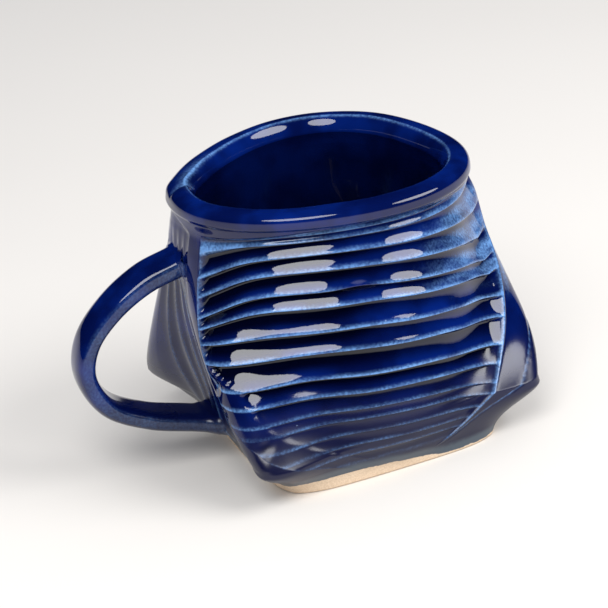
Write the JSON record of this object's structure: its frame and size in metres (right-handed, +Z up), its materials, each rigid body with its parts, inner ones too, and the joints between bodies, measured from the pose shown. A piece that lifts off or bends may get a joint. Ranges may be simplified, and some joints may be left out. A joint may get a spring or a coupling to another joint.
{
  "type": "shaving mug",
  "caption": "Squat hand-built stoneware shaving mug with a round lip, a four-cornered base, carved facets, a bare rounded-square foot and a strap handle.",
  "frame": {"origin": "centre of the foot's underside, on the cup's axis", "axes": "+Z up through the mouth; the handle points along -X, so it is on the left when the carved front is seen from -Y"},
  "size_m": [0.1247, 0.0876, 0.08],
  "materials": {
    "base_slab": "bare fired clay, matt, slightly sandy",
    "faceted_wall": "glossy cobalt glaze, dark where it pools in the grooves and pale where it breaks over the crests",
    "lip_coil": "glossy cobalt glaze",
    "handle_strap": "glossy cobalt glaze",
    "upper_handle_joint": "glossy cobalt glaze",
    "lower_handle_joint": "glossy cobalt glaze"
  },
  "bodies": {
    "root": {"base_slab": "base_slab", "faceted_wall": "faceted_wall", "lip_coil": "lip_coil", "handle_strap": "handle_strap", "upper_handle_joint": "upper_handle_joint", "lower_handle_joint": "lower_handle_joint"}
  },
  "joints": []
}
